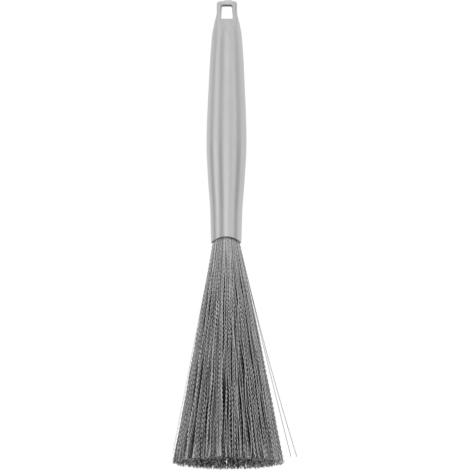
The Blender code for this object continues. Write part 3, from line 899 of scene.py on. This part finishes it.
def wire_lines(wires, look, smooth):
    """Centre lines of equally many points, from inside the mouth down to the tips."""
    look = {key: value[:, None] for key, value in look.items()}
    start = CUP_RIM_Z + ROOT_LAP
    per_wave = POINTS_PER_WAVE if smooth else 2
    turns = crimp_turns(wires, start) / look["stretch"].min()
    number = np.arange(int(turns * per_wave) + 3)
    offset = 0 if smooth else look["phase"]
    uncut = start - crimp_drop(wires, (number / per_wave + offset) * look["stretch"])
    z = np.maximum(uncut, look["tip"])
    share = np.clip((MOUTH_Z - z) / MOUTH_Z, 0, 1)
    pull = ease(np.clip(share / PULLED_BY, 0, 1))
    x = look["x"] + pull * (look["pulled_x"] - look["x"])
    y = look["y"] + pull * (look["pulled_y"] - look["y"])
    x, y = spread_place(wires, x, y, share)
    x = parted(wires, look, x, z)
    if smooth:
        crest = np.cos(2 * math.pi * (number / per_wave - look["phase"])) * look["crimp"]
    else:
        crest = (1.0 - 2.0 * (number % 2)) * look["crimp"]
    wave = crest * wires.crimp_height * np.clip((MOUTH_Z - z) / LOOSENING, MOUTH_CRIMP, 1)
    loose = np.sin(2 * math.pi * z / WANDER_LENGTH + look["wander_turn"])
    loose = loose * np.clip(share * WANDER_GROWTH, 0, 1)
    near_tip = np.clip(1 - (z - look["tip"]) / SPLAY_LENGTH, 0, 1) ** 2
    x = x + wave * np.cos(look["lean"]) + loose * look["wander_x"] + near_tip * look["splay_x"]
    y = y + wave * np.sin(look["lean"]) + loose * look["wander_y"] + near_tip * look["splay_y"]
    x, y = cut_at(x, uncut, look["tip"]), cut_at(y, uncut, look["tip"])
    # Painted shade deep in the bundle, weaker near the tips
    inside = look["depth"] * np.clip(z / TIP_SHADE_LENGTH, TIP_SHADE, 1)
    # Painted highlights on the crimp crests and painted shade in the troughs, weaker near the mouth
    shine = CREST_SHINE * np.clip((MOUTH_Z - z) / SHINE_FADE, MOUTH_SHINE, 1) * crest
    tone_and_shading = look["tone_and_shading"] * (1 - (1 - DEEP_SHADE) * inside) * (1 + shine)
    tone_and_shading = tone_and_shading * (1 + near_tip * (look["end_tone"] - 1))
    # Painted highlights on the tip ends
    tone_and_shading = np.where(z > look["tip"], tone_and_shading, tone_and_shading * TIP_SHINE)
    return np.stack((x, y, z), axis=2), tone_and_shading


def hank_lines(rng, wires, hank, count, fine):
    """Centre lines and their brightness with painted shade and highlights, in one group with round
    crimps and one with sharp ones.
    """
    looks = hank_looks(rng, hank, count)
    groups = []
    for part, smooth in ((slice(0, fine), True), (slice(fine, count), False)):
        chosen = {key: value[part] for key, value in looks.items()}
        if len(chosen["x"]):
            groups.append(wire_lines(wires, chosen, smooth))
    return groups


def trimmed(lines):
    """Index groups of lines that end after the same number of points, each with that number."""
    kept = (np.diff(lines[:, :, 2], axis=1) < -SHORTEST_STEP).sum(1) + 1
    return [(np.flatnonzero(kept == number), number) for number in np.unique(kept)]


def tube_arrays(lines, radii, turns):
    """Points, faces and texture places of thin closed tubes, and the tube that owns each face."""
    count, points = lines.shape[:2]
    angles = turns[:, None] + 2 * math.pi * np.arange(WIRE_SIDES) / WIRE_SIDES
    ring = np.stack((np.cos(angles), np.sin(angles), np.zeros_like(angles)), axis=2)
    corners = lines[:, :, None, :] + radii[:, None, None, None] * ring[:, None, :, :]
    index = np.arange(count * points * WIRE_SIDES).reshape(count, points, WIRE_SIDES)
    after = np.roll(index, -1, axis=2)
    walls = np.stack((index[:, :-1], index[:, 1:], after[:, 1:], after[:, :-1]), axis=3)
    wire, place, side = np.indices(walls.shape[:3])
    u = np.stack((place, place + 1, place + 1, place), axis=3) / points
    v = np.stack((side, side, side + 1, side + 1), axis=3) / WIRE_SIDES
    caps = np.stack((index[:, 0], index[:, -1, ::-1]), axis=1).reshape(-1, WIRE_SIDES)
    faces = np.concatenate((walls.reshape(-1, 4), caps))
    ends = np.zeros((len(caps), 4, 2))
    ends[1::2, :, 0] = 1
    spots = np.concatenate((np.stack((u, v), axis=4).reshape(-1, 4, 2), ends))
    owners = np.concatenate((wire.reshape(-1), np.repeat(np.arange(count), 2)))
    return corners.reshape(-1, 3), faces, spots, owners


def wire_mesh(name, parts, rng, diameter):
    """One mesh of all the wires of a hank, each with its own brightness, which holds painted shade and
    highlights, and its own strip of texture.
    """
    total = sum(len(tone_and_shading) for _, tone_and_shading in parts)
    points, faces, tones_and_shading, spots, base, done = [], [], [], [], 0, 0
    for lines, tone_and_shading in parts:
        for chosen, number in trimmed(lines):
            count = len(chosen)
            radii = diameter / 2 * rng.uniform(*THICKNESSES, count)
            turns = rng.uniform(0, 2 * math.pi, count)
            corners, quads, place, owners = tube_arrays(lines[chosen, :number], radii, turns)
            across = STRIP_GAP + (1 - 2 * STRIP_GAP) * place[:, :, 1]
            place[:, :, 1] = (done + owners[:, None] + across) / total
            points.append(corners)
            faces.append(quads + base)
            spots.append(place.reshape(-1, 2))
            tones_and_shading.append(np.repeat(tone_and_shading[chosen, :number], WIRE_SIDES))
            base += len(corners)
            done += count
    mesh = bpy.data.meshes.new(name)
    mesh.from_pydata(np.concatenate(points), [], np.concatenate(faces))
    mesh.shade_smooth()
    attribute = mesh.attributes.new("tone_and_shading", "FLOAT", "POINT")
    attribute.data.foreach_set("value", np.concatenate(tones_and_shading).astype(np.float32))
    layer = mesh.uv_layers.new(name=BAKE_MAP)
    layer.data.foreach_set("uv", np.concatenate(spots).astype(np.float32).ravel())
    return link(bpy.data.objects.new(name, mesh))


# Loose wires: where each leaves the mouth, bends and ends, as (side, height) in millimetres
LOOSE_WIRES = (
    ((6.6, 118.0), (16.3, 77.0), (34.5, 3.4)),
    ((6.7, 118.0), (16.7, 77.0), (37.6, 3.4)),
    ((-6.4, 118.0), (-18.9, 52.0), (-27.7, 5.0)),
)
LOOSE_STEP = 0.39 * MM
LOOSE_CRIMP = 0.07 * MM
LOOSE_TONES = (0.22, 0.22, 1.0)


def loose_line(wires, places):
    """A smooth line through the places, with a shallow crimp."""
    (x0, z0), (x1, z1), (x2, z2) = np.array(places) * MM
    z = np.arange(z0, z2, -LOOSE_STEP)
    share = (z0 - z) / (z0 - z2)
    middle = (z0 - z1) / (z0 - z2)
    bow = (x1 - (x0 + (x2 - x0) * middle)) / (middle * (1 - middle))
    x = x0 + (x2 - x0) * share + bow * share * (1 - share)
    wave = LOOSE_CRIMP * np.sin(2 * math.pi * z / wires.crimp_length)
    return np.stack((x + wave, wave, z), axis=1)


# Stage

FLOOR_RADIUS = 0.6
FLOOR_FADE = (0.4 * FLOOR_RADIUS, 0.95 * FLOOR_RADIUS)
FLOOR_ROUGHNESS = 0.9
SOFTBOX_PLACE = Vector((-0.3, 0.5, 1.6))
SOFTBOX_SIZE = 1.4
CAMERA_CLIP = (0.05, 50.0)

# Brightness of the studio by degrees from the front towards the right, and by sine of the height
STUDIO_BANDS = (
    (-180, 0.74), (-124, 0.82), (-97, 0.52), (-66, 1.0), (-33, 0.50), (-4, 1.0),
    (26, 0.76), (48, 0.84), (75, 0.46), (106, 0.82), (180, 0.74),
)
STUDIO_HEIGHTS = ((-1.0, 0.6), (-0.55, 0.4), (-0.22, 0.95), (0.0, 1.0), (0.4, 0.97), (1.0, 0.95))

# How strongly the bands show by sine of the height, and the even brightness in their place
BAND_STRENGTHS = ((-1.0, 1.0), (0.07, 1.0), (0.18, 0.6), (0.32, 0.4), (0.6, 0.25), (1.0, 0.1))
EVEN_STUDIO = 0.83


def ray_kinds(nodes):
    """Light Path's outputs, and 1 for the rays that mirror or pass through."""
    path = nodes.add("ShaderNodeLightPath").outputs
    return path, nodes.math("ADD", path["Is Glossy Ray"], path["Is Transmission Ray"], clamp=True)


def floor_material(stage):
    """A pale matt floor that is clear from below and in reflections, and fades out at its rim."""
    material = bpy.data.materials.new("pale_floor")
    material.use_nodes = True
    nodes = Nodes(material.node_tree)
    shader = material.node_tree.nodes["Principled BSDF"]
    shader.inputs["Base Color"].default_value = (*stage.floor, 1.0)
    shader.inputs["Roughness"].default_value = FLOOR_ROUGHNESS
    below = nodes.add("ShaderNodeNewGeometry").outputs["Backfacing"]
    place = nodes.add("ShaderNodeTexCoord").outputs["Object"]
    away = nodes.add("ShaderNodeVectorMath", {0: place}, operation="LENGTH").outputs["Value"]
    rim = nodes.scaled(away, *FLOOR_FADE, 0.0, 1.0)
    _, shiny = ray_kinds(nodes)
    gone = nodes.math("MAXIMUM", nodes.math("MAXIMUM", below, rim), shiny)
    clear = nodes.add("ShaderNodeBsdfTransparent").outputs[0]
    seen = nodes.add("ShaderNodeMixShader", {0: gone, 1: shader.outputs[0], 2: clear}).outputs[0]
    output = material.node_tree.nodes["Material Output"]
    nodes.tree.links.new(seen, output.inputs["Surface"])
    return material


def grey_ramp(nodes, factor, stops):
    """Grey values along a factor from 0 to 1, which stands for the first to the last stop."""
    ramp = nodes.add("ShaderNodeValToRGB", {0: factor})
    ramp.color_ramp.interpolation = "EASE"
    elements = ramp.color_ramp.elements
    for _ in range(len(stops) - len(elements)):
        elements.new(0.5)
    low, high = stops[0][0], stops[-1][0]
    for element, (place, value) in zip(elements, stops):
        element.position = (place - low) / (high - low)
        element.color = (value, value, value, 1.0)
    return ramp.outputs[0]


def light_world(stage):
    """White for the camera, soft upright bands for gloss, and an even fill for the rest."""
    world = bpy.data.worlds.new("studio")
    bpy.context.scene.world = world
    world.use_nodes = True
    nodes = Nodes(world.node_tree)
    direction = nodes.add("ShaderNodeTexCoord").outputs["Generated"]
    parts = nodes.add("ShaderNodeSeparateXYZ", {0: direction}).outputs
    turn = nodes.math("ARCTAN2", parts[0], nodes.math("MULTIPLY", parts[1], -1.0))
    turn = nodes.scaled(turn, -math.pi, math.pi, 0.0, 1.0)
    height = nodes.scaled(parts[2], -1.0, 1.0, 0.0, 1.0)
    bands = grey_ramp(nodes, turn, STUDIO_BANDS)
    heights = grey_ramp(nodes, height, STUDIO_HEIGHTS)
    strength = grey_ramp(nodes, height, BAND_STRENGTHS)
    studio = nodes.math("MULTIPLY", nodes.mixed(strength, EVEN_STUDIO, bands), heights)
    path, shiny = ray_kinds(nodes)
    level = nodes.mixed(shiny, stage.fill, studio)
    seen = nodes.mixed(path["Is Camera Ray"], level, 1.0)
    nodes.tree.links.new(seen, world.node_tree.nodes["Background"].inputs["Color"])


def add_camera(stage):
    data = bpy.data.cameras.new("camera")
    data.lens = data.sensor_width * stage.distance / stage.frame_width
    data.clip_start, data.clip_end = CAMERA_CLIP
    camera = link(bpy.data.objects.new("camera", data))
    aim = Vector((stage.aim_side, 0.0, stage.aim_height))
    back = Vector((0.0, -math.cos(stage.elevation), math.sin(stage.elevation)))
    camera.rotation_mode = "QUATERNION"
    camera.location = aim + back * stage.distance
    level = (-back).to_track_quat("-Z", "Y")
    camera.rotation_quaternion = level @ Quaternion((0.0, 0.0, 1.0), stage.roll)
    bpy.context.scene.camera = camera


def add_softbox(stage):
    """A square softbox behind and above the brush, aimed at its middle."""
    data = bpy.data.lights.new("key_softbox", "AREA")
    data.shape = "SQUARE"
    data.size = SOFTBOX_SIZE
    data.energy = stage.key_power
    lamp = link(bpy.data.objects.new("key_softbox", data))
    turn = (Vector((0.0, 0.0, TOP_Z / 2)) - SOFTBOX_PLACE).to_track_quat("-Z", "Y")
    lamp.matrix_world = Matrix.Translation(SOFTBOX_PLACE) @ turn.to_matrix().to_4x4()


# Operators

class BRUSH_OT_build_handle(bpy.types.Operator):
    """Build the polished skin of the handle with its rolled mouth and welded crown"""
    bl_idname = "brush.build_handle"
    bl_label = "Build Handle"

    def execute(self, context):
        handle, _, _ = settings_of(context)
        rings = [skin_ring(handle, height, inset) for height, inset in lip_profile(handle)]
        rings += [skin_ring(handle, height, 0.0) for height in skin_heights(handle)]
        rings += crown_rings(handle)
        bm = bmesh.new()
        loft(bm, rings, capped=True)
        skin = mesh_object("handle_skin", bm)
        cut_eye(handle, skin)
        steel = brushed_steel("brushed_handle_steel", handle.steel, handle.roughness)
        dress(skin, steel, HANDLE_SLOT, "handle_shell", "end_plug")
        return {"FINISHED"}


class BRUSH_OT_build_eye_rim(bpy.types.Operator):
    """Build the rounded rim and walls of the hanging eye"""
    bl_idname = "brush.build_eye_rim"
    bl_label = "Build Eye Rim"

    def execute(self, context):
        handle, _, _ = settings_of(context)
        bm = bmesh.new()
        loft(bm, [rim_ring(handle, *point) for point in rim_profile(handle)], joined=True)
        rim = mesh_object("eye_rim", bm)
        dress(rim, shaded_eye_steel(handle), HANDLE_SLOT, "eye_liner")
        return {"FINISHED"}


class BRUSH_OT_finish_inner_parts(bpy.types.Operator):
    """Give the cup and the anchor bar inside the mouth their drawn steel"""
    bl_idname = "brush.finish_inner_parts"
    bl_label = "Finish Inner Parts"

    def execute(self, context):
        handle, _, _ = settings_of(context)
        steel = brushed_steel("drawn_inner_steel", handle.inner_steel, roughness=0.45,
                              fineness=1500.0, length=0.15, wear=0.9)
        for name in ("root_cup", "anchor_bar"):
            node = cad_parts[name]
            node.data.materials.clear()
            node.data.materials.append(steel)
        return {"FINISHED"}


class BRUSH_OT_build_wires(bpy.types.Operator):
    """Build the crimped wires of every hank"""
    bl_idname = "brush.build_wires"
    bl_label = "Build Wires"

    def execute(self, context):
        handle, wires, _ = settings_of(context)
        rng = np.random.default_rng(wires.seed)
        steel = bright_wire(handle, wires)
        for hank in range(HANKS):
            outer = hank > MIDDLE_HANKS
            count = wires.outer_count if outer else wires.inner_count
            fine = wires.fine_count if outer else 0
            parts = hank_lines(rng, wires, hank, count, fine)
            bundle = wire_mesh(f"crimped_wires_{hank + 1:02d}", parts, rng, wires.diameter)
            dress(bundle, steel, WIRE_SLOT, f"wire_hank_{hank + 1:02d}")
        return {"FINISHED"}


class BRUSH_OT_build_loose_wires(bpy.types.Operator):
    """Build the few wires that stand off the bundle"""
    bl_idname = "brush.build_loose_wires"
    bl_label = "Build Loose Wires"

    def execute(self, context):
        _, wires, _ = settings_of(context)
        rng = np.random.default_rng(wires.seed)
        lines = [loose_line(wires, places)[None] for places in LOOSE_WIRES]
        parts = [(line, np.full(line.shape[:2], tone_and_shading)) for line, tone_and_shading in zip(lines, LOOSE_TONES)]
        loose = wire_mesh("loose_wires", parts, rng, wires.diameter)
        dress(loose, bpy.data.materials["bright_crimped_wire"], WIRE_SLOT, "stray_wires")
        return {"FINISHED"}


class BRUSH_OT_build_stage(bpy.types.Operator):
    """Build the floor, the studio light and the camera"""
    bl_idname = "brush.build_stage"
    bl_label = "Build Stage"

    def execute(self, context):
        _, _, stage = settings_of(context)
        bm = bmesh.new()
        bmesh.ops.create_grid(bm, x_segments=8, y_segments=8, size=FLOOR_RADIUS)
        floor = mesh_object("floor", bm)
        floor.data.materials.append(floor_material(stage))
        light_world(stage)
        add_softbox(stage)
        add_camera(stage)
        context.scene.view_settings.view_transform = "Standard"
        return {"FINISHED"}


class BRUSH_PT_panel(bpy.types.Panel):
    bl_idname = "BRUSH_PT_panel"
    bl_label = "Dish Brush"
    bl_space_type = "VIEW_3D"
    bl_region_type = "UI"
    bl_category = "Dish Brush"

    def draw(self, context):
        for settings in settings_of(context):
            box = self.layout.box()
            for name in settings.__annotations__:
                box.prop(settings, name)
        for operator in OPERATORS:
            self.layout.operator(operator.bl_idname)


OPERATORS = (
    BRUSH_OT_build_stage,
    BRUSH_OT_build_handle,
    BRUSH_OT_build_eye_rim,
    BRUSH_OT_finish_inner_parts,
    BRUSH_OT_build_wires,
    BRUSH_OT_build_loose_wires,
)
CLASSES = (HandleSettings, WireSettings, StageSettings, *OPERATORS, BRUSH_PT_panel)


def register():
    for item in CLASSES:
        bpy.utils.register_class(item)
    bpy.types.Scene.brush_handle = bpy.props.PointerProperty(type=HandleSettings)
    bpy.types.Scene.brush_wires = bpy.props.PointerProperty(type=WireSettings)
    bpy.types.Scene.brush_stage = bpy.props.PointerProperty(type=StageSettings)


def unregister():
    del bpy.types.Scene.brush_stage
    del bpy.types.Scene.brush_wires
    del bpy.types.Scene.brush_handle
    for item in reversed(CLASSES):
        bpy.utils.unregister_class(item)


def main():
    register()
    bpy.ops.brush.build_stage()
    bpy.ops.brush.build_handle()
    bpy.ops.brush.build_eye_rim()
    bpy.ops.brush.finish_inner_parts()
    bpy.ops.brush.build_wires()
    bpy.ops.brush.build_loose_wires()


if __name__ == "__main__":
    main()
